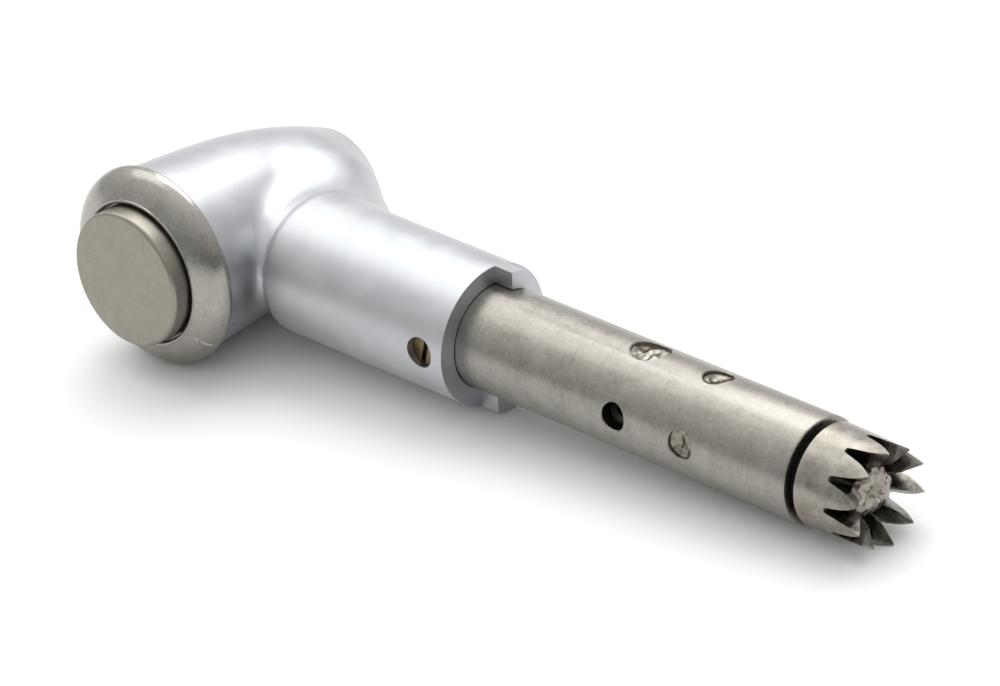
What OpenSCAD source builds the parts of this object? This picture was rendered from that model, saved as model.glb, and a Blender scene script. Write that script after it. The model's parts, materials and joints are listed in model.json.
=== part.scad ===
// Prophy angle head: right-angle dental head with a push-button chuck for latch burs,
// driven by a crown gear at the end of a stainless shaft sleeve.
// It lies on its side: +X runs along the shaft to the crown gear, +Z is up,
// the push button faces -Y and the bur mouth faces +Y. The origin is where the
// shaft axis crosses the chuck axis. Millimetres.
// Every module is written with +Z towards the button and laid down by lay().

/* [Head] */
// Radius of the head barrel under the cap
head_r = 4.62; // [4.55:0.01:4.7]
// Height of the seam between head barrel and cap, above the shaft axis
seam_z = 4.77; // [4.72:0.01:4.82]
// Depth of the bur mouth below the shaft axis
mouth_z = 7.0; // [6.95:0.05:7.2]
// Radius of the bur mouth in the housing
mouth_r = 1.95; // [1.9:0.01:2.0]

/* [Neck] */
// Outer radius of the neck sleeve
neck_r = 3.38; // [3.3:0.01:3.45]
// Shaft-axis position of the neck's end face between the tabs
neck_end = 16.66; // [16.5:0.02:17]
// How far the two tabs stand out past the end face
lip_len = 1.05; // [0.6:0.05:1.5]
// Upper end tab: its edge towards the button, measured from the shaft axis
lip_z = -0.3; // [-0.5:0.05:0]
// Upper end tab: its edge towards the mouth
lip_low = -1.1; // [-1.3:0.05:-1]
// Lower end tab: its edge towards the button
tab_z = 0.9; // [0.7:0.05:1.1]
// Lower end tab: its edge towards the mouth
tab_low = -0.6; // [-0.8:0.05:-0.4]
// Position of the locating screw along the shaft
screw_x = 15.3; // [15:0.05:15.5]
// Radius of the locating screw hole
screw_r = 0.72; // [0.68:0.01:0.75]

/* [Cap and button] */
// Outer radius of the domed cap ring
cap_r = 4.84; // [4.8:0.01:4.9]
// Top of the cap ring
cap_top = 6.08; // [6.05:0.01:6.15]
// Radius of the push button
button_r = 3.30; // [3.2:0.01:3.32]
// Height of the push button face
button_z = 6.96; // [6.92:0.01:7]
// Inner radius of the cap ring around the button
cap_in = 3.41; // [3.4:0.01:3.45]

/* [Bearing sleeve] */
// Outer radius of the stainless sleeve
sleeve_r = 2.5; // [2.49:0.005:2.51]
// End of the sleeve at the crown gear
sleeve_end = 36.16; // [36:0.02:36.3]
// First ring of holes in the sleeve
hole_xa = 26.18; // [26:0.02:26.4]
// Second ring of holes in the sleeve
hole_xb = 30.13; // [30:0.02:30.3]
// Radius of the round inspection hole
hole_r = 0.65; // [0.6:0.01:0.7]
// Radius of the small staking dimples
dimple_r = 0.70; // [0.6:0.01:0.75]
// Radius of the large staking dimple
dimple_big_r = 0.95; // [0.85:0.01:1]

/* [Crown gear] */
// Back face of the crown gear
crown_x = 36.58; // [36.5:0.01:36.7]
// Tips of the crown teeth
crown_tip = 40.09; // [40:0.01:40.2]
// Bottom of the gullets at the outer face
crown_root = 38.3; // [38.2:0.02:38.5]
// Outer radius at the back
crown_r = 2.40; // [2.35:0.01:2.45]
// Outer radius at the tips
crown_tip_r = 2.31; // [2.25:0.01:2.35]
// Number of crown teeth
crown_teeth = 10; // [10]
// Turn of the first tooth from the top
crown_phase = 3.8; // [0:0.2:36]

/* [Chuck] */
// Radius of the bur bore, for a 2.35 mm latch shank
bur_r = 1.18; // [1.18:0.005:1.2]
// Radius of the chuck spindle at its bearings
spindle_r = 1.6; // [1.6]
// Travel of the push button
travel = 0.6; // [0.4:0.1:0.6]

/* [Bevel gears] */
// Teeth on the pinion
pinion_teeth = 10; // [10]
// Teeth on the spindle gear
gear_teeth = 15; // [15]
// Pitch radius of the pinion at its large end
pinion_pr = 1.6; // [1.6]
// Addendum at the large end
bevel_add = 0.20; // [0.16:0.01:0.2]
// Dedendum at the large end
bevel_ded = 0.27; // [0.25:0.01:0.28]
// Share of the circular pitch taken by the gap
bevel_gap = 0.58; // [0.56:0.01:0.6]

/* [Hidden] */
$fn = 96;
eps = 0.02;
gear_pr = pinion_pr * gear_teeth / pinion_teeth;
cone_l = sqrt(pinion_pr * pinion_pr + gear_pr * gear_pr);
cone_p = atan(pinion_pr / gear_pr);          // pinion pitch cone half angle
cone_g = 90 - cone_p;
face_k = 0.723;                              // inner end of the teeth, share of the cone length
chamber_r = 3.0;
low_r = 2.75;
fit_r = sleeve_r - 0.2;                       // the sleeve's stepped seat inside the neck
skirt_r = 4.08;
pocket_r = 3.85;
fb0 = 4.6; fb1 = 5.8;                        // front shaft bearing
rb0 = 34.7; rb1 = 35.9;                      // rear shaft bearing
ub0 = 2.95; ub1 = 4.15;                      // upper spindle bearing
lb0 = -3.9; lb1 = -2.7;                      // lower spindle bearing
jaw0 = 4.45; jaw1 = 5.15;
seat_z = 4.45;
plate_z = 6.5;

module lay() rotate([90, 0, 0]) children();
// around() carries a shape that stands on the shaft axis, pointing at the button, to an
// angle counted from the top towards the button
module around(az) rotate([az - 90, 0, 0]) children();
module ring(r0, r1, z0, z1) translate([0, 0, z0]) difference() {
    cylinder(r = r1, h = z1 - z0);
    translate([0, 0, -1]) cylinder(r = r0, h = z1 - z0 + 2);
}
module xring(r0, r1, x0, x1) rotate([0, 90, 0]) ring(r0, r1, x0, x1);
module xcyl(r, x0, x1) rotate([0, 90, 0]) translate([0, 0, x0]) cylinder(r = r, h = x1 - x0);
module xturn(p) rotate([0, 90, 0]) rotate_extrude() polygon([for (q = p) [q[1], q[0]]]);

// ---- bearings, on +Z
module outer_race(r0, r1, rp, rb, z0, z1) translate([0, 0, z0]) rotate_extrude() difference() {
    translate([r0, 0]) square([r1 - r0, z1 - z0]);
    translate([rp, (z1 - z0) / 2]) circle(r = rb + eps, $fn = 48);
}
module inner_race(r0, r1, rp, rb, z0, z1) outer_race(r0, r1, rp, rb, z0, z1);
module balls(n, rp, rb, zc) for (i = [0:n - 1])
    rotate([0, 0, i * 360 / n]) translate([rp, 0, zc]) sphere(r = rb, $fn = 48);
module cage(n, r0, r1, rp, rb, z0, z1) difference() {
    ring(r0, r1, z0, z1);
    for (i = [0:n - 1]) rotate([0, 0, i * 360 / n]) translate([r0 - 0.5, 0, (z0 + z1) / 2])
        rotate([0, 90, 0]) cylinder(r = rb + eps, h = r1 - r0 + 1, $fn = 48);
}

// ---- bevel teeth: one gap, shrinking towards the apex, cut across the blank.
// u runs along the pitch cone, v away from it on the tooth side, w across the gap.
function gap_pt(k, v, w) = [cone_l * k, v * k, w * k];
module bevel_gap(pitch) {
    wp = pitch * bevel_gap / 2;
    t = tan(20);
    v0 = -bevel_ded; v1 = bevel_add + 0.25;
    w0 = wp - bevel_ded * t; w1 = wp + v1 * t;
    k0 = 0.55; k1 = 1.25;
    p = [gap_pt(k0, v0, -w0), gap_pt(k0, v0, w0), gap_pt(k0, v1, w1), gap_pt(k0, v1, -w1),
         gap_pt(k1, v0, -w0), gap_pt(k1, v0, w0), gap_pt(k1, v1, w1), gap_pt(k1, v1, -w1)];
    polyhedron(points = p, faces = [[3, 2, 1, 0], [4, 5, 6, 7], [0, 1, 5, 4], [1, 2, 6, 5],
        [2, 3, 7, 6], [3, 0, 4, 7]]);
}

// ---- housing
barrel = [[0, 4.77], [head_r, seam_z], [4.575, 4.0], [4.49, 3.0], [4.425, 2.0], [4.34, 1.0],
    [4.245, 0], [4.13, -1], [3.955, -2], [3.75, -3], [3.5, -4], [3.2, -5], [2.87, -5.9],
    [2.62, -6.5], [2.45, -6.85], [2.28, -mouth_z], [0, -mouth_z]];
neck = [[0.5, 0], [0.5, 2.9], [4.2, 2.9], [4.6, 2.95], [4.9, 3.04], [5.2, 3.17], [5.5, 3.27],
    [5.9, 3.34], [6.4, neck_r - 0.01], [7.2, neck_r], [neck_end + lip_len - 0.12, neck_r], [neck_end + lip_len, neck_r - 0.12],
    [neck_end + lip_len, 0]];

// the web that carries the mouth end of the barrel over to the neck
module web() translate([2.36, 0, -3.4]) rotate([0, 63, 0]) rotate_extrude()
    polygon([[0, -2.95], [1.3, -2.72], [2.3, -1.95], [2.9, -0.9], [3.07, 0.1], [2.95, 1.4], [2.5, 4.3],
        [2.2, 5.5], [1.4, 6.4], [0, 6.7]]);

module head_housing() color([0.78, 0.79, 0.81]) lay() difference() {
    union() {
        rotate_extrude() polygon(barrel);
        xturn(neck);
        web();
    }
    // neck end cut back on both sides, leaving one tab above and one below
    translate([neck_end, 0, lip_z]) cube([5, 5, 10]);
    translate([neck_end, 0, lip_low - 10]) cube([5, 5, 10]);
    translate([neck_end, -5, tab_z]) cube([5, 5 + eps, 10]);
    translate([neck_end, -5, tab_low - 10]) cube([5, 5 + eps, 10]);
    // chuck bores
    translate([0, 0, -mouth_z - 1]) cylinder(r = mouth_r, h = 6);
    translate([0, 0, -4.3]) cylinder(r = low_r, h = 4);
    translate([0, 0, lb1]) cylinder(r = chamber_r, h = 9);
    translate([0, 0, 3.2]) cylinder(r = skirt_r + eps, h = 3);
    // neck bores
    xcyl(2.2, 0, 5);
    xcyl(fit_r, 4.2, 20);
    xcyl(fit_r + 0.255, 13.4, 13.7);
    xcyl(2.58, 16.3, 20);
    translate([screw_x, 0, 1]) cylinder(r = screw_r, h = 4, $fn = 48);
}

// ---- cap ring with a key facet on the neck side
dome = [[pocket_r, 3.5], [skirt_r, 3.5], [skirt_r, seam_z], [cap_r - 0.04, seam_z],
    [cap_r, seam_z + 0.04], [4.80, 5.05], [4.66, 5.32], [4.44, 5.56], [4.14, 5.78],
    [3.80, 5.95], [3.56, 6.05], [cap_in + 0.05, cap_top], [cap_in, cap_top - 0.05],
    [cap_in, 5.58], [pocket_r, 5.58]];
module cap_ring() color([0.66, 0.65, 0.62]) lay() difference() {
    rotate_extrude() polygon(dome);
    rotate([0, 0, -36]) rotate_extrude(angle = 91)
        polygon([[4.06, 5.775], [4.74, 5.06], [4.90, 5.2], [4.2, 6.1]]);
}
module bearing_carrier() color([0.7, 0.7, 0.7]) lay() difference() {
    union() { ring(chamber_r, pocket_r - 0.01, 3.55, ub1); ring(2.15, pocket_r - 0.01, ub1, seat_z); }
}
module cap_seal() color([0.08, 0.08, 0.08]) lay() translate([0, 0, 3.35])
    rotate_extrude() translate([3.75, 0]) circle(r = 0.14, $fn = 32);
module neck_seal() color([0.08, 0.08, 0.08]) lay() rotate([0, 90, 0]) translate([0, 0, 13.55])
    rotate_extrude() translate([fit_r + 0.125, 0]) circle(r = 0.12, $fn = 32);

// ---- bearing sleeve
module side_hole(x, az, r, r0, r1) around(az) translate([x, 0, r0]) cylinder(r = r, h = r1 - r0,
    $fn = 48);
module bearing_sleeve() color([0.60, 0.58, 0.55]) lay() difference() {
    xturn([[4.2, 0], [4.2, fit_r - 0.1], [4.3, fit_r], [17.8, fit_r], [17.85, sleeve_r],
        [sleeve_end - 0.1, sleeve_r], [sleeve_end, sleeve_r - 0.1], [sleeve_end, 0]]);
    xcyl(1.85, 0, 40);
    xcyl(2.0, 0, fb1);
    xcyl(2.0, rb0, 40);
    side_hole(screw_x, 90, screw_r, 1, 4);
    side_hole(hole_xa, 86, hole_r, 1, 4);
    side_hole(hole_xb, 86, dimple_r, 1, 4);
    side_hole(hole_xa, -4, dimple_big_r, 1, 4);
    side_hole(hole_xb, -4, dimple_r, 1, 4);
}
module locating_screw() color([0.62, 0.56, 0.45]) lay() translate([screw_x, 0, 0]) difference() {
    translate([0, 0, 2.05]) cylinder(r = screw_r - 0.02, h = 0.93, $fn = 48);
    rotate([0, 0, 78]) translate([-2, -0.13, 2.66]) cube([4, 0.26, 1]);
}
module sleeve_bush() color([0.55, 0.53, 0.50]) lay() difference() {
    xring(1.45, 1.84, 24.4, 31.9);
    side_hole(hole_xa, 86, hole_r, 1, 4);
    side_hole(hole_xb, 86, dimple_r * 0.5, 1.72, 4);
    side_hole(hole_xa, -4, dimple_big_r * 0.5, 1.72, 4);
    side_hole(hole_xb, -4, dimple_r * 0.5, 1.72, 4);
}
module front_lock_ring() color([0.6, 0.6, 0.6]) lay() difference() {
    xring(1.45, 1.99, 4.22, fb0 - 0.02);
    for (a = [0, 90]) rotate([a, 0, 0]) translate([4, -3, -0.2]) cube([0.4, 6, 0.4]);
}
module rear_seal() color([0.05, 0.05, 0.05]) lay() xring(1.42, 1.99, rb1 + 0.02, sleeve_end);

// ---- shaft bearings
module front_outer_race() color([0.75, 0.75, 0.76]) lay() rotate([0, 90, 0])
    outer_race(1.72, 1.99, 1.5, 0.3, fb0, fb1);
module rear_outer_race() color([0.75, 0.75, 0.76]) lay() rotate([0, 90, 0])
    outer_race(1.72, 1.99, 1.5, 0.3, rb0, rb1);
module front_inner_race() color([0.75, 0.75, 0.76]) lay() rotate([0, 90, 0])
    inner_race(1.0, 1.28, 1.5, 0.3, fb0, fb1);
module rear_inner_race() color([0.75, 0.75, 0.76]) lay() rotate([0, 90, 0])
    inner_race(1.0, 1.28, 1.5, 0.3, rb0, rb1);
module front_balls() color([0.85, 0.85, 0.86]) lay() rotate([0, 90, 0])
    balls(7, 1.5, 0.3, (fb0 + fb1) / 2);
module rear_balls() color([0.85, 0.85, 0.86]) lay() rotate([0, 90, 0])
    balls(7, 1.5, 0.3, (rb0 + rb1) / 2);
module front_cage() color([0.45, 0.30, 0.15]) lay() rotate([0, 90, 0])
    cage(7, 1.37, 1.63, 1.5, 0.3, fb0 + 0.1, fb1 - 0.1);
module rear_cage() color([0.45, 0.30, 0.15]) lay() rotate([0, 90, 0])
    cage(7, 1.37, 1.63, 1.5, 0.3, rb0 + 0.1, rb1 - 0.1);

// ---- drive train
module drive_shaft() color([0.62, 0.60, 0.57]) lay() xturn([[2.35, 0], [2.35, 0.58], [3.2, 0.58],
    [3.2, 0.99], [38.75, 0.99], [38.95, 0.9], [39.05, 0.6], [39.08, 0]]);
module race_spacer() color([0.6, 0.6, 0.6]) lay() xring(1.0, 1.25, fb1, rb0);
module drive_pinion() color([0.62, 0.60, 0.57]) lay() difference() {
    xturn([[face_k * 2.55, 0], [face_k * 2.55, face_k * 1.375], [face_k * 2.289, face_k * 1.766],
        [2.289, 1.766], [2.55, 1.375], [2.62, 1.25], [fb0 - 0.02, 1.25], [fb0 - 0.02, 0]]);
    xcyl(0.6, 2.3, 3.3);
    xcyl(1.0, 3.2, 6);
    for (i = [0:pinion_teeth - 1]) rotate([(i + 0.5) * 360 / pinion_teeth, 0, 0])
        rotate([0, -cone_p, 0]) rotate([90, 0, 0]) bevel_gap(2 * PI * pinion_pr / pinion_teeth);
}
function flank(s) = [for (q = [[0.10, 0], [0.17, 0.2], [0.25, 0.6], [0.34, 1.0], [0.46, 1.35],
    [0.58, 1.6], [0.67, 1.79], [0.745, 2.4]]) [s * q[0], q[1]]];
module crown_gear() color([0.60, 0.58, 0.55]) lay() difference() {
    xturn([[36.0, 0], [36.0, 1.27], [crown_x, 1.27], [crown_x, crown_r - 0.05],
        [crown_x + 0.05, crown_r], [crown_tip, crown_tip_r], [crown_tip, 0]]);
    xcyl(1.0, 30, 50);
    // hollow inside the teeth
    xturn([[38.75, 0], [38.75, 1.0], [38.95, 1.15], [39.5, 1.45], [41, 1.95], [41, 0]]);
    for (i = [0:crown_teeth - 1]) around(crown_phase + (i + 0.5) * 360 / crown_teeth)
        translate([crown_root, 0, 2.4]) rotate([0, 8, 0]) translate([0, 0, -2.2])
        linear_extrude(height = 3.4)
            polygon([for (q = flank(-1)) [q[1], q[0]], for (i = [7:-1:0]) [flank(1)[i][1], flank(1)[i][0]]]);
}

// ---- chuck
module chuck_spindle() color([0.62, 0.60, 0.57]) lay() difference() {
    rotate_extrude() polygon([[0, -6.9], [spindle_r - 0.1, -6.9], [spindle_r, -6.8],
        [spindle_r, lb1], [1.82, lb1], [1.82, -2.45], [1.5, -2.45], [1.5, 1.4], [spindle_r, 1.4],
        [spindle_r, 4.42], [0, 4.42]]);
    translate([0, 0, -8]) cylinder(r = bur_r, h = 14);
    translate([0, 0, -6.91]) cylinder(r1 = bur_r + 0.15, r2 = bur_r, h = 0.15);
}
module spindle_gear() color([0.62, 0.60, 0.57]) lay() difference() {
    rotate_extrude() polygon([[0, 1.36], [1.63, 1.36], [face_k * 2.511, face_k * 1.434],
        [2.511, 1.434], [2.43, 2.3], [2.0, 2.4], [2.0, 2.93], [0, 2.93]]);
    translate([0, 0, -1]) cylinder(r = spindle_r, h = 6);
    for (i = [0:gear_teeth - 1]) rotate([0, 0, i * 360 / gear_teeth])
        rotate([0, -cone_p, 0]) rotate([-90, 0, 0]) bevel_gap(2 * PI * gear_pr / gear_teeth);
}
module upper_outer_race() color([0.75, 0.75, 0.76]) lay()
    outer_race(2.56, chamber_r, 2.3, 0.42, ub0, ub1);
module upper_inner_race() color([0.75, 0.75, 0.76]) lay()
    inner_race(spindle_r, 2.04, 2.3, 0.42, ub0, ub1);
module upper_balls() color([0.85, 0.85, 0.86]) lay() balls(8, 2.3, 0.42, (ub0 + ub1) / 2);
module upper_cage() color([0.45, 0.30, 0.15]) lay()
    cage(8, 2.13, 2.47, 2.3, 0.42, ub0 + 0.08, ub1 - 0.08);
module lower_outer_race() color([0.75, 0.75, 0.76]) lay()
    outer_race(2.40, low_r, 2.175, 0.36, lb0, lb1);
module lower_inner_race() color([0.75, 0.75, 0.76]) lay()
    inner_race(spindle_r, 1.95, 2.175, 0.36, lb0, lb1);
module lower_balls() color([0.85, 0.85, 0.86]) lay() balls(8, 2.175, 0.36, (lb0 + lb1) / 2);
module lower_cage() color([0.45, 0.30, 0.15]) lay()
    cage(8, 2.03, 2.32, 2.175, 0.36, lb0 + 0.1, lb1 - 0.1);
module lower_shield() color([0.7, 0.7, 0.7]) lay() ring(1.8, low_r - 0.02, -4.0, lb0);
module preload_washer() color([0.5, 0.5, 0.52]) lay() ring(2.1, low_r - 0.05, -4.3, -4.0);
module spindle_nut() color([0.62, 0.60, 0.57]) lay() ring(spindle_r, 1.9, ub1, 4.42);

// ---- jaws and their ring spring
module jaw() difference() {
    translate([0, 0, jaw0]) cylinder(r = 1.75, h = jaw1 - jaw0);
    translate([0, 0, jaw0 - 1]) cylinder(r = 1.02, h = 3);
    translate([0, 0, jaw0 + 0.3]) cylinder(r1 = 1.1, r2 = 1.6, h = jaw1 - jaw0 - 0.3 + 0.02);
    translate([-5, -5, 0]) cube([5.06, 10, 10]);
    // groove for the ring spring
    ring(1.6, 2.5, 4.6, 4.9);
}
module chuck_jaw_a() color([0.66, 0.64, 0.60]) lay() jaw();
module chuck_jaw_b() color([0.66, 0.64, 0.60]) lay() rotate([0, 0, 180]) jaw();
module jaw_spring() color([0.5, 0.5, 0.52]) lay() difference() {
    ring(1.61, 1.85, 4.63, 4.87);
    translate([-0.25, 0, 4]) cube([0.5, 3, 2]);
}

// ---- push button
module push_button() color([0.66, 0.65, 0.62]) lay() difference() {
    rotate_extrude() polygon([[0, plate_z], [2.85, plate_z], [2.85, 5.25], [3.7, 5.25],
        [3.7, 5.55], [button_r, 5.55], [button_r, button_z - 0.13], [button_r - 0.04, button_z - 0.04],
        [button_r - 0.13, button_z], [0, button_z]]);
    translate([0, 0, plate_z - 1]) cylinder(r = 0.5, h = 1.26, $fn = 48);
}
module button_cam() color([0.62, 0.60, 0.57]) lay() rotate_extrude() polygon([[0, 5.3],
    [0.95, 5.3], [1.25, 5.9], [1.25, plate_z - 0.01], [0.49, plate_z - 0.01], [0.49, 6.74],
    [0, 6.74]]);

// coil spring: a round wire swept along a helix
spring_turns = 3;
spring_r = 2.45;
wire_r = 0.16;
spring_n = 30 * spring_turns;
function coil_pt(i) = let (a = 360 * i / 30, h = plate_z - seat_z - 2 * wire_r - 0.04)
    [spring_r * cos(a), spring_r * sin(a), seat_z + wire_r + 0.02 + h * i / spring_n];
module button_spring() color([0.55, 0.55, 0.57]) lay() {
    m = 8;
    pts = [for (i = [0:spring_n]) for (j = [0:m - 1]) let (a = 360 * i / 30, b = 360 * j / m)
        coil_pt(i) + wire_r * cos(b) * [cos(a), sin(a), 0] + wire_r * sin(b) * [0, 0, 1]];
    polyhedron(points = pts, faces = concat(
        [[for (j = [0:m - 1]) j]],
        [for (i = [0:spring_n - 1]) for (j = [0:m - 1])
            [i * m + j, (i + 1) * m + j, (i + 1) * m + (j + 1) % m, i * m + (j + 1) % m]],
        [[for (j = [m - 1:-1:0]) spring_n * m + j]]));
}

head_housing();
cap_ring();
bearing_carrier();
bearing_sleeve();
locating_screw();
cap_seal();
neck_seal();
sleeve_bush();
front_lock_ring();
rear_seal();
upper_outer_race();
lower_outer_race();
lower_shield();
preload_washer();
front_outer_race();
rear_outer_race();
drive_shaft();
drive_pinion();
crown_gear();
front_inner_race();
rear_inner_race();
race_spacer();
front_balls();
front_cage();
rear_balls();
rear_cage();
chuck_spindle();
spindle_gear();
upper_inner_race();
lower_inner_race();
spindle_nut();
upper_balls();
upper_cage();
lower_balls();
lower_cage();
chuck_jaw_a();
chuck_jaw_b();
jaw_spring();
push_button();
button_cam();
button_spring();
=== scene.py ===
import json
import math

import bmesh
import bpy
import numpy as np
from mathutils import Matrix, Vector


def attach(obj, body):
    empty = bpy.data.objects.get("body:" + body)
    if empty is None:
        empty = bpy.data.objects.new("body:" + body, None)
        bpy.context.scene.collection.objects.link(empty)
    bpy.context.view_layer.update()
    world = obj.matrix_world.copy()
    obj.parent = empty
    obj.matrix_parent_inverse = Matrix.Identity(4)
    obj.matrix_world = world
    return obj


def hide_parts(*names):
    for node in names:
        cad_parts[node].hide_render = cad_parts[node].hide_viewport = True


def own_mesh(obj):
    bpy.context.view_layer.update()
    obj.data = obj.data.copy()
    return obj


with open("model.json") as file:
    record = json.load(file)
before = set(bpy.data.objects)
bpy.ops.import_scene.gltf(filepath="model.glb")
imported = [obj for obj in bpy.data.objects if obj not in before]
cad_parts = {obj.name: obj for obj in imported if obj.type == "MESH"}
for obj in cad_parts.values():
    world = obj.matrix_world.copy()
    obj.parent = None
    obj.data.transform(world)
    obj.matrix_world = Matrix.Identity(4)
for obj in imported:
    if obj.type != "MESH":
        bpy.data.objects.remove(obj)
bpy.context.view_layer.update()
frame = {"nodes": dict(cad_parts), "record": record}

MM = 0.001

# Driving sizes in mm, in head coordinates: x along the shaft, z towards the button.
SLEEVE_R = 2.5          # the bearing sleeve outside
SLEEVE_IN = 1.85        # and inside
SLEEVE_END = 36.16
NECK_END = 16.66        # the neck's end face, between its two tabs
TAB_LEN = 1.05
SEAM_Z = 4.77           # where the cap ring meets the barrel
MOUTH_Z = 7.0           # the mouth's face, below the shaft axis
SCREW_X = 15.3
HOLE_XA = 26.18         # the two rings of holes in the sleeve
HOLE_XB = 30.13
FAR = 24.0              # past anything that a cutter has to clear
scene = bpy.context.scene
nodes = frame["nodes"]


# ------------------------------------------------------------------ camera
# The head axis and the shaft axis cross at the origin; the view is from the
# button side, above, with the crown gear nearest.
def look(eye, forward, up, lens):
    f = Vector(forward).normalized()
    u = Vector(up) - f * Vector(up).dot(f)
    u.normalize()
    r = f.cross(u)
    cam = bpy.data.cameras.new("camera")
    cam.lens = lens
    cam.sensor_width = 36.0
    cam.clip_start = 0.01
    cam.clip_end = 10.0
    obj = bpy.data.objects.new("camera", cam)
    obj.matrix_world = Matrix(((r.x, u.x, -f.x, eye[0]), (r.y, u.y, -f.y, eye[1]),
                               (r.z, u.z, -f.z, eye[2]), (0, 0, 0, 1)))
    scene.collection.objects.link(obj)
    scene.camera = obj


look((0.199885, -0.18783, 0.139214), (-0.61567, 0.63264, -0.46980), (-0.30165, 0.36157, 0.88220), 237.8)
scene.view_settings.view_transform = "Standard"


# --------------------------------------------------------------- materials
class Mat:
    """A small builder for node materials, with coordinates in millimetres."""

    def __init__(self, name):
        self.m = bpy.data.materials.new(name)
        self.m.use_nodes = True
        self.t = self.m.node_tree
        self.bsdf = self.t.nodes["Principled BSDF"]
        tc = self.t.nodes.new("ShaderNodeTexCoord")
        self.co = self.t.nodes.new("ShaderNodeMapping")
        self.co.inputs["Scale"].default_value = (1000, 1000, 1000)
        self.t.links.new(tc.outputs["Object"], self.co.inputs["Vector"])
        self.mm = self.co.outputs["Vector"]

    def link(self, a, b):
        self.t.links.new(a, b)

    def stretched(self, sx, sy, sz):
        n = self.t.nodes.new("ShaderNodeMapping")
        n.inputs["Scale"].default_value = (sx, sy, sz)
        self.link(self.mm, n.inputs["Vector"])
        return n.outputs["Vector"]

    def math(self, op, a, b=None):
        n = self.t.nodes.new("ShaderNodeMath")
        n.operation = op
        for i, v in enumerate((a, b)):
            if v is None:
                continue
            if isinstance(v, (int, float)):
                n.inputs[i].default_value = v
            else:
                self.link(v, n.inputs[i])
        return n.outputs[0]

    def noise(self, vec, scale, detail=3.0, rough=0.55):
        n = self.t.nodes.new("ShaderNodeTexNoise")
        n.inputs["Scale"].default_value = scale
        n.inputs["Detail"].default_value = detail
        n.inputs["Roughness"].default_value = rough
        self.link(vec, n.inputs["Vector"])
        return n.outputs["Fac"]

    def rings(self, axis, scale, detail=2.0):
        """Noise that runs round an axis, as turning marks do."""
        s = self.t.nodes.new("ShaderNodeSeparateXYZ")
        self.link(self.mm, s.inputs[0])
        a = {"x": 0, "y": 1, "z": 2}[axis]
        o = [i for i in range(3) if i != a]
        r2 = self.math("ADD", self.math("MULTIPLY", s.outputs[o[0]], s.outputs[o[0]]),
                       self.math("MULTIPLY", s.outputs[o[1]], s.outputs[o[1]]))
        r = self.math("SQRT", r2)
        c = self.t.nodes.new("ShaderNodeCombineXYZ")
        self.link(s.outputs[a], c.inputs[0])
        self.link(r, c.inputs[1])
        return self.noise(c.outputs[0], scale, detail, 0.6)

    def ramp(self, fac, lo, hi, a, b):
        n = self.t.nodes.new("ShaderNodeMapRange")
        n.inputs["From Min"].default_value = lo
        n.inputs["From Max"].default_value = hi
        n.inputs["To Min"].default_value = a
        n.inputs["To Max"].default_value = b
        self.link(fac, n.inputs["Value"])
        return n.outputs[0]

    def mix(self, fac, a, b):
        n = self.t.nodes.new("ShaderNodeMix")
        n.data_type = "RGBA"
        self.link(fac, n.inputs["Factor"])
        for sock, v in ((n.inputs[6], a), (n.inputs[7], b)):
            if isinstance(v, (tuple, list)):
                sock.default_value = (*v, 1)
            else:
                self.link(v, sock)
        return n.outputs[2]

    def bump(self, height, distance, strength=1.0, normal=None):
        n = self.t.nodes.new("ShaderNodeBump")
        n.inputs["Strength"].default_value = strength
        n.inputs["Distance"].default_value = distance * MM
        self.link(height, n.inputs["Height"])
        if normal is not None:
            self.link(normal, n.inputs["Normal"])
        return n.outputs[0]

    def finish(self, color, rough, normal, metallic=1.0):
        b = self.bsdf
        b.inputs["Metallic"].default_value = metallic
        self.link(color, b.inputs["Base Color"])
        self.link(rough, b.inputs["Roughness"])
        if normal is not None:
            self.link(normal, b.inputs["Normal"])
        return self.m


def satin(name, a, b, r0, r1, grain=14.0, depth=0.004, metallic=1.0):
    """Bead-blasted: a fine, even grain with slow shifts of tone."""
    m = Mat(name)
    slow = m.noise(m.mm, 0.6, 3.0)
    fine = m.noise(m.mm, grain, 2.0, 0.6)
    col = m.mix(m.ramp(slow, 0.3, 0.7, 0, 1), a, b)
    rough = m.math("ADD", m.ramp(slow, 0.3, 0.7, r0, r1), m.ramp(fine, 0.3, 0.7, -0.03, 0.03))
    return m.finish(col, rough, m.bump(fine, depth), metallic)


def turned(name, axis, a, b, r0, r1, lines=9.0, depth=0.002):
    """Lathe-turned steel: rings round the axis, with a mottled, handled surface."""
    m = Mat(name)
    ring = m.rings(axis, lines, 3.0)
    blot = m.noise(m.mm, 1.2, 4.0, 0.6)
    grain = m.noise(m.mm, 16.0, 2.0, 0.6)
    fac = m.math("ADD", m.math("MULTIPLY", ring, 0.55), m.math("MULTIPLY", blot, 0.45))
    col = m.mix(m.ramp(fac, 0.35, 0.65, 0, 1), a, b)
    rough = m.math("ADD", m.ramp(fac, 0.35, 0.65, r0, r1), m.ramp(grain, 0.3, 0.7, -0.03, 0.03))
    n = m.bump(ring, depth)
    n = m.bump(grain, depth * 0.6, 1.0, n)
    return m.finish(col, rough, n)


def scratched(name, a, b, r0, r1, depth=0.002):
    """Ground flat steel: fine crossing scratches over a mottled ground."""
    m = Mat(name)
    s1 = m.noise(m.stretched(22, 1, 2.5), 1.6, 2.0, 0.6)
    s2 = m.noise(m.stretched(3, 1, 20), 1.6, 2.0, 0.6)
    blot = m.noise(m.mm, 1.8, 4.0, 0.65)
    f = m.math("ADD", m.math("MULTIPLY", m.math("ADD", s1, s2), 0.3), m.math("MULTIPLY", blot, 0.4))
    col = m.mix(m.ramp(f, 0.35, 0.65, 0, 1), a, b)
    rough = m.ramp(f, 0.35, 0.65, r0, r1)
    n = m.bump(s1, depth)
    n = m.bump(s2, depth, 1.0, n)
    return m.finish(col, rough, n)


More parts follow.
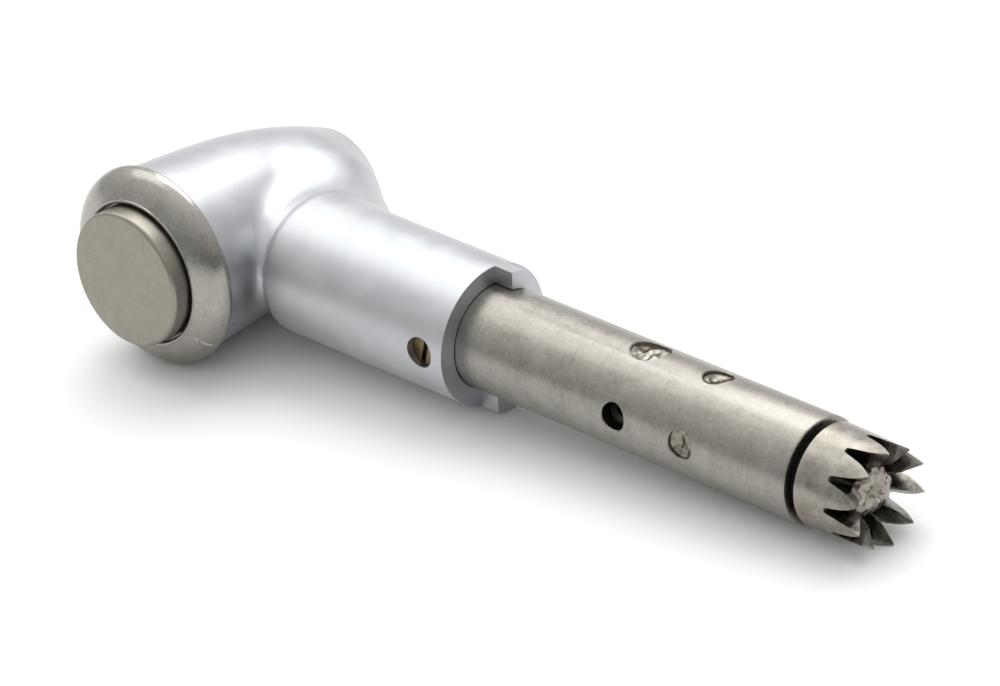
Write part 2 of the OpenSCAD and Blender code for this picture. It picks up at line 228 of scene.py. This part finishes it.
def rubber(name, a, b):
    """Moulded seal rubber: matt, faintly uneven."""
    m = Mat(name)
    f = m.noise(m.mm, 9.0, 3.0)
    return m.finish(m.mix(f, a, b), m.ramp(f, 0.3, 0.7, 0.55, 0.75), m.bump(f, 0.004), 0.0)


def blotched(name, axis, a, b, r0, r1, depth=0.0012):
    """Drawn and handled stainless: soft blotches, fine grit, faint turning rings."""
    m = Mat(name)
    ring = m.rings(axis, 6.0, 3.0)
    blot = m.noise(m.mm, 0.9, 5.0, 0.62)
    speck = m.noise(m.mm, 5.5, 4.0, 0.6)
    grit = m.noise(m.mm, 22.0, 2.0, 0.6)
    fac = m.math("ADD", m.math("MULTIPLY", ring, 0.18),
                 m.math("ADD", m.math("MULTIPLY", blot, 0.42), m.math("MULTIPLY", speck, 0.40)))
    col = m.mix(m.ramp(fac, 0.36, 0.64, 0, 1), a, b)
    rough = m.math("ADD", m.ramp(fac, 0.36, 0.64, r0, r1), m.ramp(grit, 0.3, 0.7, -0.03, 0.03))
    n = m.bump(speck, depth * 2.2)
    n = m.bump(grit, depth, 1.0, n)
    n = m.bump(ring, depth * 0.35, 1.0, n)
    return m.finish(col, rough, n)


def gear_with_painted_shade(name, a, b, r0, r1):
    """Gear steel: the turned outer skin in its own tones, with painted shade below it on the inner faces and
    in the gullets.
    """
    m = Mat(name)
    s = m.t.nodes.new("ShaderNodeSeparateXYZ")
    m.link(m.mm, s.inputs[0])
    rho = m.math("SQRT", m.math("ADD", m.math("MULTIPLY", s.outputs[1], s.outputs[1]),
                                m.math("MULTIPLY", s.outputs[2], s.outputs[2])))
    blot = m.noise(m.mm, 1.6, 5.0, 0.62)
    grit = m.noise(m.mm, 18.0, 2.0, 0.6)
    # painted shade mask: 0 below a radius of about 2.22 mm, 1 on the outer skin from about 2.36 mm
    skin = m.ramp(m.math("ADD", rho, m.math("MULTIPLY", blot, 0.12)), 2.22, 2.36, 0, 1)
    unshaded_col = m.mix(m.ramp(blot, 0.36, 0.64, 0, 1), a, b)
    # painted shade: the inner faces take the base colours cut to 0.34 and 0.62 of themselves
    painted_shade_col = m.mix(m.ramp(blot, 0.4, 0.6, 0, 1), tuple(c * 0.34 for c in a), tuple(c * 0.62 for c in b))
    rough = m.math("ADD", m.ramp(blot, 0.36, 0.64, r0, r1), m.ramp(grit, 0.3, 0.7, -0.03, 0.03))
    n = m.bump(blot, 0.006)
    n = m.bump(grit, 0.0014, 1.0, n)
    return m.finish(m.mix(skin, painted_shade_col, unshaded_col), rough, n)


# Darkest and lightest base colour, then least and greatest roughness where the recipe asks for it.
MAT = {
    "satin_housing": satin("satin_aluminium", (0.455, 0.466, 0.484), (0.525, 0.536, 0.554), 0.36, 0.44),
    "polished_steel": blotched("cap_steel", "y", (0.29, 0.275, 0.245), (0.40, 0.385, 0.35), 0.17, 0.27,
                               0.0006),
    "button_steel": scratched("button_steel", (0.245, 0.23, 0.192), (0.33, 0.315, 0.272), 0.30, 0.42),
    "sleeve_steel": blotched("sleeve_steel", "x", (0.245, 0.232, 0.205), (0.365, 0.35, 0.315), 0.27, 0.37),
    "stake_steel": blotched("stake_steel", "x", (0.16, 0.148, 0.118), (0.36, 0.34, 0.295), 0.24, 0.36, 0.002),
    # painted shade: near-black steel for the wall of the open hole
    "bore_painted_shade": blotched("bore_painted_shade", "x", (0.020, 0.020, 0.018), (0.045, 0.043, 0.038), 0.45, 0.6),
    # the gear's inner faces and gullets get painted shade
    "gear_steel": gear_with_painted_shade("gear_steel", (0.24, 0.222, 0.19), (0.35, 0.33, 0.29), 0.24, 0.34),
    "shaft_steel": blotched("shaft_steel", "x", (0.22, 0.20, 0.165), (0.40, 0.375, 0.33), 0.16, 0.26, 0.002),
    "inner_steel": turned("inner_steel", "y", (0.36, 0.36, 0.35), (0.46, 0.46, 0.45), 0.25, 0.35),
    "bush_steel": turned("bush_steel", "x", (0.20, 0.185, 0.165), (0.32, 0.30, 0.27), 0.3, 0.45),
    "spring_steel": scratched("spring_steel", (0.25, 0.25, 0.26), (0.36, 0.36, 0.37), 0.25, 0.35),
    "jaw_steel": scratched("jaw_steel", (0.32, 0.30, 0.28), (0.44, 0.42, 0.39), 0.2, 0.3),
    "screw_steel": turned("screw_brass", "y", (0.09, 0.065, 0.035), (0.25, 0.19, 0.11), 0.25, 0.4),
    "race_steel": turned("race_steel", "x", (0.46, 0.46, 0.47), (0.56, 0.56, 0.57), 0.1, 0.2),
    "ball_steel": scratched("ball_steel", (0.56, 0.56, 0.57), (0.64, 0.64, 0.65), 0.05, 0.12, 0.0003),
    "cage_resin": satin("cage_resin", (0.20, 0.11, 0.05), (0.28, 0.16, 0.08), 0.45, 0.6, 10.0, 0.004, 0.0),
    "seal_rubber": rubber("seal_rubber", (0.010, 0.010, 0.010), (0.022, 0.022, 0.022)),
}
slot_of = {s["node"]: s["material_slot"] for s in frame["record"]["subparts"]}
for name, obj in nodes.items():
    mat = MAT[slot_of[name]]
    if not obj.material_slots:
        obj.data.materials.append(mat)
    for s in obj.material_slots:
        s.material = mat


# ------------------------------------------------------------- mesh helpers
def to_row(p):
    """Head coordinates (z towards the button), mm, to the row frame in metres."""
    p = np.asarray(p, float)
    return np.stack([p[..., 0], -p[..., 2], p[..., 1]], -1) * MM


def new_object(name, verts, faces):
    me = bpy.data.meshes.new(name)
    me.from_pydata([tuple(v) for v in verts], [], [tuple(f) for f in faces])
    me.validate()
    me.update()
    ob = bpy.data.objects.new(name, me)
    scene.collection.objects.link(ob)
    return ob


def shade(ob, angle):
    """Smooth shading, with edges sharper than the angle left crisp."""
    me = ob.data
    me.polygons.foreach_set("use_smooth", [True] * len(me.polygons))
    me.set_sharp_from_angle(angle=math.radians(angle))
    me.update()


def turn(profile, n=192, axis="z"):
    """Closed solid of revolution. profile: (r, z) in mm, from axis to axis or back to its start."""
    prof = list(profile)
    loop = prof[0] == prof[-1]
    if loop:
        prof.pop()
    verts, faces, rings = [], [], []
    for r, z in prof:
        if r < 1e-9:
            rings.append([len(verts)])
            verts.append((0, 0, z))
        else:
            rings.append(list(range(len(verts), len(verts) + n)))
            for i in range(n):
                a = 2 * math.pi * i / n
                verts.append((r * math.cos(a), r * math.sin(a), z))
    if loop:
        rings.append(rings[0])
    for a, b in zip(rings[:-1], rings[1:]):
        for i in range(n):
            j = (i + 1) % n
            if len(a) == 1 and len(b) == 1:
                continue
            if len(a) == 1:
                faces.append((a[0], b[j], b[i]))
            elif len(b) == 1:
                faces.append((a[i], a[j], b[0]))
            else:
                faces.append((a[i], a[j], b[j], b[i]))
    v = np.array(verts)
    if axis == "x":
        v = np.stack([v[:, 2], v[:, 0], v[:, 1]], -1)
    return v, faces


def cut(ob, tools):
    """Takes the tools out of the object, one after another, then removes them."""
    for t in tools:
        m = ob.modifiers.new("cut", "BOOLEAN")
        m.operation = "DIFFERENCE"
        m.object = t
        m.solver = "MANIFOLD"
        dg = bpy.context.evaluated_depsgraph_get()
        me = bpy.data.meshes.new_from_object(ob.evaluated_get(dg))
        ob.modifiers.clear()
        old = ob.data
        ob.data = me
        bpy.data.meshes.remove(old)
    for t in tools:
        bpy.data.objects.remove(t)
    ob.data.name = ob.name


def box(name, lo, hi):
    """A block for cutting with, from corner to corner."""
    lo, hi = np.array(lo, float), np.array(hi, float)
    c = np.array([(x, y, z) for x in (0, 1) for y in (0, 1) for z in (0, 1)])
    v = to_row(lo + c * (hi - lo))
    f = [(0, 1, 3, 2), (4, 6, 7, 5), (0, 4, 5, 1), (2, 3, 7, 6), (0, 2, 6, 4), (1, 5, 7, 3)]
    ob = new_object(name, v, f)
    return fix_normals(ob)


def fix_normals(ob):
    bm = bmesh.new()
    bm.from_mesh(ob.data)
    bmesh.ops.recalc_face_normals(bm, faces=bm.faces)
    bm.to_mesh(ob.data)
    bm.free()
    return ob


def solid(name, profile, axis="z", n=192):
    v, f = turn(profile, n, axis)
    return fix_normals(new_object(name, to_row(v), f))


# ------------------------------------------- head housing: one blended shell
# the barrel's radius at a few heights, run through by one smooth curve
BZ = np.array([5.2, 4.77, 3.0, 1.0, -1.0, -3.0, -4.5, -5.5, -6.3, -7.0, -7.4])
BR = np.array([4.62, 4.60, 4.49, 4.34, 4.13, 3.755, 3.36, 3.00, 2.70, 2.38, 2.20])
BPOLY = np.polyfit(BZ, BR, 6)
WAIST_SOFT = (0.7, 0.75)        # how softly waist and barrel meet, button side and mouth side
WEB_A, WEB_B = np.array([2.36, 0, -3.51]), np.array([6.31, 0, -1.49])
WEB_RA, WEB_RB = 2.97, 2.50     # the web is a rounded bar from A to B, thinning by this much
WEB_SOFT = 1.72
WAIST_R = 2.70
COLLAR_R = 3.383                # the neck, whose front edge is the collar
COLLAR_X = 4.95
COLLAR_ROUND = 0.75
COLLAR_SOFT = 0.22


def barrel_r(z):
    """Radius of the barrel at a height along the head."""
    return np.polyval(BPOLY, np.clip(z, -7.6, 5.4))


def soft_min(a, b, k):
    """The nearer of two surfaces, rounded over a width k where they meet."""
    h = np.clip(0.5 + 0.5 * (b - a) / k, 0, 1)
    return b * (1 - h) + a * h - k * h * (1 - h)


def shell_field(p):
    """Signed field: barrel, a waist run softly into it, the web, and the neck's round shoulder."""
    x, y, z = p[..., 0], p[..., 1], p[..., 2]
    a = np.maximum((np.hypot(x, y) - barrel_r(z)) * 0.97, np.maximum(z - 5.3, -7.6 - z))
    rho = np.hypot(y, z)
    waist = np.maximum(rho - WAIST_R, np.maximum(-x, x - 12))
    t = np.clip((z + 2.0) / 3.0, 0, 1)
    t = t * t * (3 - 2 * t)
    body = soft_min(a, waist, WAIST_SOFT[1] * (1 - t) + WAIST_SOFT[0] * t)
    # the web that carries the barrel's mouth end over to the neck
    d = WEB_B - WEB_A
    h = np.clip(((p - WEB_A) @ d) / (d @ d), 0, 1)
    web = np.linalg.norm(p - WEB_A - h[..., None] * d, axis=-1) - (WEB_RA + (WEB_RB - WEB_RA) * h)
    body = soft_min(body, web, WEB_SOFT)
    # a cylinder whose front edge is rounded off
    q0 = rho - (COLLAR_R - COLLAR_ROUND)
    q1 = (COLLAR_X + COLLAR_ROUND) - x
    outside = np.hypot(np.maximum(q0, 0), np.maximum(q1, 0))
    collar = outside + np.minimum(np.maximum(q0, q1), 0) - COLLAR_ROUND
    collar = np.maximum(collar, x - 18.2)
    return soft_min(body, collar, COLLAR_SOFT)


def surface_net(field, lo, hi, step):
    """Naive surface nets: one vertex in each cell the surface crosses."""
    ax = [np.arange(lo[i], hi[i] + step, step) for i in range(3)]
    g = np.stack(np.meshgrid(*ax, indexing="ij"), -1)
    f = field(g)
    ins = f < 0
    nx, ny, nz = [len(a) - 1 for a in ax]
    corners = [(i, j, k) for i in (0, 1) for j in (0, 1) for k in (0, 1)]
    cnt = sum(ins[i:nx + i, j:ny + j, k:nz + k].astype(int) for i, j, k in corners)
    cell = (cnt > 0) & (cnt < 8)
    idx = -np.ones(cell.shape, int)
    ijk = np.argwhere(cell)
    idx[cell] = np.arange(len(ijk))
    s = np.zeros((len(ijk), 3))
    n = np.zeros(len(ijk))
    for a in range(8):
        for b in range(a + 1, 8):
            d = np.array(corners[b]) - np.array(corners[a])
            if np.abs(d).sum() != 1:
                continue
            ca, cb = ijk + corners[a], ijk + corners[b]
            fa, fb = f[tuple(ca.T)], f[tuple(cb.T)]
            m = (fa < 0) != (fb < 0)
            t = np.where(m, fa / np.where(m, fa - fb, 1), 0)
            s += np.where(m[:, None], corners[a] + t[:, None] * d, 0)
            n += m
    v = (ijk + s / n[:, None]) * step + np.array(lo)
    faces = []
    for axis in range(3):
        o = [i for i in range(3) if i != axis]
        sl0 = [slice(None)] * 3
        sl1 = [slice(None)] * 3
        sl0[axis], sl1[axis] = slice(0, -1), slice(1, None)
        a, b = ins[tuple(sl0)], ins[tuple(sl1)]
        e = np.argwhere(a != b)
        ok = (e[:, o[0]] > 0) & (e[:, o[1]] > 0)
        ok &= (e[:, o[0]] < cell.shape[o[0]]) & (e[:, o[1]] < cell.shape[o[1]])
        e = e[ok & (e[:, axis] < cell.shape[axis])]
        q = []
        for d0, d1 in ((0, 0), (-1, 0), (-1, -1), (0, -1)):
            c = e.copy()
            c[:, o[0]] += d0
            c[:, o[1]] += d1
            q.append(idx[tuple(c.T)])
        q = np.stack(q, -1)
        flip = a[tuple(e.T)]
        if axis == 1:
            flip = ~flip
        q[flip] = q[flip][:, ::-1]
        faces.append(q)
    return v, np.concatenate(faces)


def project(v, field, rounds=4):
    """Moves points onto the zero surface along its gradient."""
    h = 1e-3
    for _ in range(rounds):
        f = field(v)
        g = np.stack([(field(v + d) - field(v - d)) / (2 * h) for d in np.eye(3) * h], -1)
        g2 = np.maximum((g * g).sum(-1), 1e-6)
        v = v - (f / g2)[:, None] * g
    return v


def make_housing():
    """The blended shell with its seam, mouth, neck end, bores and screw hole cut into it."""
    step = 0.14
    v, f = surface_net(shell_field, (-5.2, -5.2, -8.0), (18.6, 5.2, 5.6), step)
    v = project(v, shell_field)
    ob = fix_normals(new_object("head_housing_shell", to_row(v), f))
    chuck_bores = [(0, -12), (1.95, -12), (1.95, -4.3), (2.75, -4.3), (2.75, -2.7), (3.0, -2.7),
                   (3.0, 3.2), (4.1, 3.2), (4.1, 9), (0, 9)]
    neck_bores = [(0, 0.5), (2.2, 0.5), (2.2, 4.2), (2.32, 4.2), (2.32, 16.2), (2.54, 16.2),
                  (2.54, FAR), (0, FAR)]
    tools = [
        box("past_seam", (-9, -9, SEAM_Z), (9, 9, 9)),
        box("past_mouth", (-9, -9, -12), (9, 9, -MOUTH_Z)),
        box("past_tabs", (NECK_END + TAB_LEN, -9, -9), (FAR, 9, 9)),
        # what is left between these four are the upper and the lower tab
        box("button_side_above", (NECK_END, 0, -0.3), (FAR, 9, 9)),
        box("mouth_side_above", (NECK_END, 0, -9), (FAR, 9, -1.1)),
        box("button_side_below", (NECK_END, -9, 0.9), (FAR, 0.02, 9)),
        box("mouth_side_below", (NECK_END, -9, -9), (FAR, 0.02, -0.6)),
        solid("chuck_bores", chuck_bores),
        solid("neck_bores", neck_bores, "x"),
    ]
    hv, hf = turn([(0, 1.0), (0.74, 1.0), (0.74, 6.0), (0, 6.0)], 96)
    tools.append(fix_normals(new_object("screw_hole", to_row(hv + np.array([SCREW_X, 0, 0])), hf)))
    cut(ob, tools)
    shade(ob, 35)
    ob.data.materials.clear()
    ob.data.materials.append(MAT["satin_housing"])
    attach(ob, "head")
    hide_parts("head_housing")


make_housing()


# ---------------------------------------------------- cap ring and push button
def arc(r, z, radius, a0, a1, n):
    """Points on a circle arc in the (r, z) plane, degrees from +r towards +z."""
    return [(r + radius * math.cos(math.radians(t)), z + radius * math.sin(math.radians(t)))
            for t in np.linspace(a0, a1, n)]


def make_cap():
    """Domed ring: rounded rim, dome, rolled inner edge, and a key facet that fades out."""
    prof = [(4.08, 3.5), (4.08, SEAM_Z), (4.78, SEAM_Z)]
    prof += [(4.815, 4.79), (4.838, 4.83), (4.84, 4.88), (4.832, 4.97), (4.81, 5.06), (4.77, 5.16),
             (4.72, 5.26), (4.65, 5.36), (4.57, 5.45), (4.47, 5.54), (4.36, 5.63), (4.24, 5.71),
             (4.11, 5.785), (3.97, 5.855), (3.83, 5.92), (3.70, 5.975), (3.60, 6.02)]
    prof += arc(3.53, 5.95, 0.12, 62, 180, 8)
    prof += [(3.41, 5.58), (3.85, 5.58), (3.85, 3.5), (4.08, 3.5)]
    v, f = turn(prof, 360)
    rho, az = np.hypot(v[:, 0], v[:, 1]), np.degrees(np.arctan2(v[:, 1], v[:, 0]))
    # the facet deepens from one end to the other, where it stops short
    facet_from, facet_to = 55, -36.4
    facet_depth = 0.055
    top = (v[:, 2] > 4.9) & (rho > 3.85)
    t = np.clip((facet_from - az) / 91, 0, 1) * (az > facet_to)
    band = np.clip((rho - 3.85) / 0.25, 0, 1) * np.clip((v[:, 2] - 4.9) / 0.2, 0, 1)
    d = facet_depth * t ** 1.3 * band * top
    v[:, 2] -= d * 0.75
    v[:, :2] *= (1 - d * 0.66 / np.maximum(rho, 1e-6))[:, None]
    ob = fix_normals(new_object("cap_ring_dome", to_row(v), f))
    shade(ob, 32)
    ob.data.materials.append(MAT["polished_steel"])
    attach(ob, "head")
    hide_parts("cap_ring")


def make_button():
    """The push button: a flat disc with a rounded edge, over its skirt."""
    prof = [(0, 6.76), (0.5, 6.76), (0.5, 6.5), (2.85, 6.5), (2.85, 5.25), (3.7, 5.25), (3.7, 5.55),
            (3.3, 5.55)]
    prof += arc(3.12, 6.78, 0.18, 0, 90, 9)
    prof += [(2.6, 6.965), (1.4, 6.96), (0, 6.96)]
    v, f = turn(prof, 256)
    ob = fix_normals(new_object("push_button_disc", to_row(v), f))
    shade(ob, 40)
    ob.data.materials.append(MAT["button_steel"])
    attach(ob, "button")
    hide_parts("push_button")


def make_spring():
    """Coil under the button plate, carried with the button."""
    turns, coil_r, wire_r, seat, plate, travel = 3, 2.45, 0.16, 4.45, 6.5, 0.6
    per_turn, sides, play = 40, 12, 0.02
    n = turns * per_turn
    low, high = seat + wire_r + play, plate - wire_r - play
    verts = []
    for i in range(n + 1):
        a = 2 * math.pi * i / per_turn
        z = low + (high - low) * i / n
        for j in range(sides):
            b = 2 * math.pi * j / sides
            r = coil_r + wire_r * math.cos(b)
            verts.append((r * math.cos(a), r * math.sin(a), z + wire_r * math.sin(b)))
    faces = [tuple(range(sides)), tuple(range(n * sides, (n + 1) * sides))]
    for i in range(n):
        p, q = i * sides, (i + 1) * sides
        faces += [(p + j, q + j, q + (j + 1) % sides, p + (j + 1) % sides) for j in range(sides)]
    ob = fix_normals(new_object("button_spring_coil", to_row(verts), faces))
    shade(ob, 40)
    ob.data.materials.append(MAT["spring_steel"])
    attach(ob, "button")
    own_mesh(ob)
    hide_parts("button_spring")


make_cap()
make_button()
make_spring()


# ------------------------------------------------ bearing sleeve and its holes
def torn(u, w, seed, waves=(3.0, 6.5, 12.0, 21.0)):
    """A repeatable torn-metal height between 0 and 1, from folded waves."""
    rng = np.random.default_rng(seed)
    h, total = np.zeros_like(u), 0.0
    for k in waves:
        for _ in range(2):
            a, ph = rng.uniform(0, 2 * math.pi, 2)
            h += np.abs(np.sin(k * (u * math.cos(a) + w * math.sin(a)) + ph)) / k ** 0.6
            total += 1 / k ** 0.6
    return h / total


def pit(name, x, az, r, depth, tear, seed, chamfer=0.05):
    """Cutter for a round staked pit in the sleeve: chamfered rim, straight wall, torn floor."""
    n, m = 80, 22
    a = np.linspace(0, 2 * math.pi, n, endpoint=False)
    pts, rings = [], []

    def ring(rad, height):
        u, w = rad * np.cos(a), rad * np.sin(a)
        rings.append(list(range(len(pts), len(pts) + n)))
        pts.extend(zip(u, w, height(u, w)))

    def skin(u, w):             # the sleeve's own surface
        return np.sqrt(SLEEVE_R ** 2 - w * w)

    def floor_of(u, w):
        q = np.hypot(u, w) / r
        rough = tear * torn(u, w, seed, (2.2, 4.0, 6.5)) * (1 - 0.5 * q ** 4)
        return skin(u, w) - depth * (1 - 0.35 * q ** 2) - rough

    pts.append((0.0, 0.0, float(floor_of(np.zeros(1), np.zeros(1))[0])))
    for i in range(1, m + 1):
        ring(r * i / m, floor_of)
    ring(r, lambda u, w: skin(u, w) - chamfer)
    ring(r + 2 * chamfer, lambda u, w: skin(u, w) + chamfer)
    lid = 3.4                   # above the sleeve's surface
    ring(r + 2 * chamfer, lambda u, w: 0 * u + lid)
    pts.append((0.0, 0.0, lid))
    faces = [(0, rings[0][i], rings[0][(i + 1) % n]) for i in range(n)]
    for p, q in zip(rings[:-1], rings[1:]):
        faces += [(p[i], q[i], q[(i + 1) % n], p[(i + 1) % n]) for i in range(n)]
    last = len(pts) - 1
    faces += [(rings[-1][i], last, rings[-1][(i + 1) % n]) for i in range(n)]
    q = np.array(pts)
    c, t = math.cos(math.radians(az)), math.sin(math.radians(az))
    v = np.stack([x + q[:, 0], q[:, 2] * c - q[:, 1] * t, q[:, 2] * t + q[:, 1] * c], -1)
    ob = fix_normals(new_object(name, to_row(v), faces))
    for key in ("sleeve_steel", "stake_steel", "bore_painted_shade"):
        ob.data.materials.append(MAT[key])
    inner = n * (m + 1)                      # faces of the floor and the wall, not the chamfer
    for f in ob.data.polygons:
        f.material_index = 1 if f.index < inner else 0
    return ob


def side_drill(name, x, az, r, chamfer=0.06):
    """Cutter for a plain round hole through one wall of the sleeve, with a chamfered rim."""
    ob = pit(name, x, az, r, 1.1, 0.0, 1, chamfer)
    for f in ob.data.polygons:
        # the hole's wall takes the third material, near-black painted shade
        f.material_index *= 2
    return ob


def make_sleeve():
    """The bearing sleeve, with one open hole and three staked pits."""
    ob = solid("bearing_sleeve_tube", [
        (2.0, 4.2), (2.2, 4.2), (2.3, 4.3), (2.3, 16.35), (SLEEVE_R - 0.04, 16.35), (SLEEVE_R, 16.39),
        (SLEEVE_R, SLEEVE_END - 0.1), (2.49, 36.10), (2.46, 36.14), (2.41, SLEEVE_END), (2.02, SLEEVE_END),
        (2.0, 36.14), (2.0, 34.7), (SLEEVE_IN, 34.7), (SLEEVE_IN, 5.8), (2.0, 5.8), (2.0, 4.2)], "x", 256)
    for key in ("sleeve_steel", "stake_steel", "bore_painted_shade"):
        ob.data.materials.append(MAT[key])
    sv, sf = turn([(0, 1.0), (0.72, 1.0), (0.72, 6.0), (0, 6.0)], 64)
    cut(ob, [
        side_drill("open_hole", HOLE_XA, 86, 0.65),
        pit("near_pit", HOLE_XB, 86, 0.68, 0.22, 0.30, 5),
        pit("large_pit", HOLE_XA, -4, 0.92, 0.22, 0.34, 9),
        pit("small_pit", HOLE_XB, -4, 0.70, 0.20, 0.28, 13),
        fix_normals(new_object("screw_hole", to_row(sv + np.array([SCREW_X, 0, 0])), sf)),
    ])
    shade(ob, 28)
    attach(ob, "head")
    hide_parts("bearing_sleeve")


make_sleeve()


# ------------------------------------- drive shaft with its hammered-over end
def make_shaft():
    """The drive shaft. Its outer end was hammered over, and is lumpy and torn."""
    prof = [(0, 2.35), (0.56, 2.35), (0.58, 2.37), (0.58, 3.2), (0.97, 3.2), (0.99, 3.22), (0.99, 37.8)]
    prof += [(0.99, x) for x in np.linspace(37.9, 38.5, 7)]
    prof += [(1.06, 38.56), (1.13, 38.62), (1.18, 38.70), (1.20, 38.78), (1.19, 38.87), (1.15, 38.95),
             (1.09, 39.02), (1.0, 39.08), (0.9, 39.12), (0.8, 39.15), (0.7, 39.17), (0.6, 39.18),
             (0.5, 39.19), (0.4, 39.19), (0.3, 39.2), (0.2, 39.2), (0.1, 39.2), (0, 39.2)]
    v, f = turn(prof, 96, "x")
    x, y, z = v[:, 0], v[:, 1], v[:, 2]
    rho, a = np.hypot(y, z), np.arctan2(z, y)
    k = np.clip((x - 38.5) / 0.3, 0, 1) ** 1.2
    lump = torn(y + 0.6 * x, z, 21, (1.3, 2.3, 3.4)) - 0.5
    fine = torn(y, z + x, 8, (5.0, 8.0)) - 0.5
    side = 0.10 * np.cos(3 * a + 0.7) + 0.07 * np.cos(5 * a + 2.1)
    end = np.clip(1 - rho / 1.15, 0, 1) ** 0.5
    dr = k * (side * 0.8 + 0.30 * lump + 0.05 * fine) * np.clip(rho / 0.7, 0, 1)
    dx = k * (0.70 * lump + 0.12 * fine + 0.12 * np.cos(a + 0.5) * rho) * (0.35 + 0.65 * end)
    s = 1 + dr / np.maximum(rho, 1e-6)
    v = np.stack([x + dx, y * s, z * s], -1)
    ob = fix_normals(new_object("drive_shaft_peened", to_row(v), f))
    shade(ob, 25)
    ob.data.materials.append(MAT["shaft_steel"])
    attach(ob, "drive_train")
    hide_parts("drive_shaft")


make_shaft()

# ------------------------------------------------------------ floor, lights
# The object lies tilted, so the floor leans against the row frame, just under the lowest point.
FLOOR_N = Vector((-0.047, -0.138, 0.989)).normalized()
FLOOR_HALF = 1.2                # half its side, in metres


def make_floor():
    pts = []
    for name in ("cap_ring", "bearing_sleeve", "crown_gear", "head_housing"):
        ob = nodes[name]
        n = len(ob.data.vertices)
        co = np.empty(n * 3)
        ob.data.vertices.foreach_get("co", co)
        pts.append(co.reshape(-1, 3) @ np.array(ob.matrix_world.to_3x3()).T)
    pts = np.concatenate(pts)
    d = float((pts @ np.array(FLOOR_N)).min()) - 0.00001
    u = Vector((1, 0, 0)) - FLOOR_N * FLOOR_N.x
    u.normalize()
    w = FLOOR_N.cross(u)
    o = FLOOR_N * d
    v = [tuple(o + u * a * FLOOR_HALF + w * b * FLOOR_HALF) for a, b in ((-1, -1), (1, -1), (1, 1), (-1, 1))]
    ob = new_object("floor", v, [(0, 1, 2, 3)])
    m = Mat("floor_white")
    f = m.noise(m.mm, 0.02, 2.0)
    ob.data.materials.append(m.finish(m.mix(f, (0.86, 0.86, 0.86), (0.88, 0.88, 0.88)),
                                      m.ramp(f, 0.3, 0.7, 0.55, 0.6), None, 0.0))


make_floor()


def area(name, loc, target, size, power):
    """A square soft light, in metres and watts, turned towards its target."""
    l = bpy.data.lights.new(name, "AREA")
    l.energy = power
    l.shape = "RECTANGLE"
    l.size = size
    l.size_y = size
    ob = bpy.data.objects.new(name, l)
    ob.location = loc
    d = Vector(target) - Vector(loc)
    ob.rotation_euler = d.to_track_quat("-Z", "Y").to_euler()
    scene.collection.objects.link(ob)


area("top_light", (-0.31, -0.035, 0.39), (0.01, 0, 0), 0.34, 0.40)
area("key_light", (-0.10, 0.24, 0.48), (0.01, 0, 0), 0.42, 1.35)
# a studio tent: bright overhead, dimmer towards the horizon and towards the shaft's end
world = bpy.data.worlds.new("studio")
world.use_nodes = True
wt = world.node_tree
tc = wt.nodes.new("ShaderNodeTexCoord")
dot = wt.nodes.new("ShaderNodeVectorMath")
dot.operation = "DOT_PRODUCT"
dot.inputs[1].default_value = (-0.30, 0.12, 0.95)
grade = wt.nodes.new("ShaderNodeMapRange")
grade.inputs["From Min"].default_value = -0.35
grade.inputs["From Max"].default_value = 1.0
grade.inputs["To Min"].default_value = 0.20
grade.inputs["To Max"].default_value = 1.30
wt.links.new(tc.outputs["Generated"], dot.inputs[0])
wt.links.new(dot.outputs["Value"], grade.inputs["Value"])
wt.links.new(grade.outputs[0], wt.nodes["Background"].inputs["Strength"])
wt.nodes["Background"].inputs["Color"].default_value = (1, 1, 1, 1)
scene.world = world
